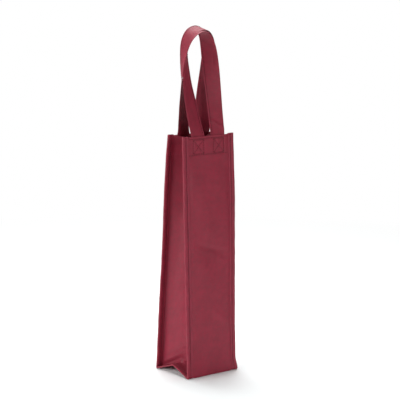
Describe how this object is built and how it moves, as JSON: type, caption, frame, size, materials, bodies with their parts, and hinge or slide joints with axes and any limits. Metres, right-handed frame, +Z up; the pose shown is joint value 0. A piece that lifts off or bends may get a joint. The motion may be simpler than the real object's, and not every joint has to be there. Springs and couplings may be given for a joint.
{
  "type": "wine gift bag",
  "caption": "Tall narrow gift bag for one wine bottle, sewn from plain non-woven cloth, with folded side gussets, bound seams and two webbing handles.",
  "frame": {"origin": "on the floor, at the middle of the base", "axes": "+Z up, X across the front panel, the front panel faces -Y"},
  "size_m": [0.0948, 0.0814, 0.5252],
  "materials": {
    "panel_cloth": "matte spunbond non-woven",
    "gusset_cloth": "matte spunbond non-woven",
    "binding_tape": "soft folded edge tape",
    "strap_cloth": "matte folded non-woven strap",
    "thread": "matte spun thread"
  },
  "bodies": {
    "bag_body": {"back_panel": "panel_cloth", "back_upper_hem_thread": "thread", "back_lower_hem_thread": "thread", "back_left_binding": "binding_tape", "back_left_strap_end": "strap_cloth", "back_left_seam_thread": "thread", "back_left_cross_thread": "thread", "back_right_binding": "binding_tape", "back_right_strap_end": "strap_cloth", "back_right_seam_thread": "thread", "back_right_cross_thread": "thread", "base_panel": "panel_cloth", "left_gusset": "gusset_cloth", "base_left_binding": "binding_tape", "right_gusset": "gusset_cloth", "base_right_binding": "binding_tape"},
    "front": {"front_panel": "panel_cloth", "front_upper_hem_thread": "thread", "front_lower_hem_thread": "thread", "front_left_binding": "binding_tape", "front_left_strap_end": "strap_cloth", "front_left_seam_thread": "thread", "front_left_cross_thread": "thread", "front_right_binding": "binding_tape", "front_right_strap_end": "strap_cloth", "front_right_seam_thread": "thread", "front_right_cross_thread": "thread"},
    "front_handle": {"front_handle": "strap_cloth", "front_handle_thread": "thread"},
    "back_handle": {"back_handle": "strap_cloth", "back_handle_thread": "thread"}
  },
  "joints": [
    {"name": "mouth_open", "type": "hinge", "parent": "bag_body", "child": "front", "pos_m": [0, -0.0401, 0], "axis": [1, 0, 0], "range_deg": [0, 3.5]},
    {"name": "front_handle_swing", "type": "hinge", "parent": "front", "child": "front_handle", "pos_m": [0, -0.0285, 0.365], "axis": [1, 0, 0], "range_deg": [0, 165]},
    {"name": "back_handle_swing", "type": "hinge", "parent": "bag_body", "child": "back_handle", "pos_m": [0, 0.0115, 0.365], "axis": [-1, 0, 0], "range_deg": [0, 165]}
  ]
}
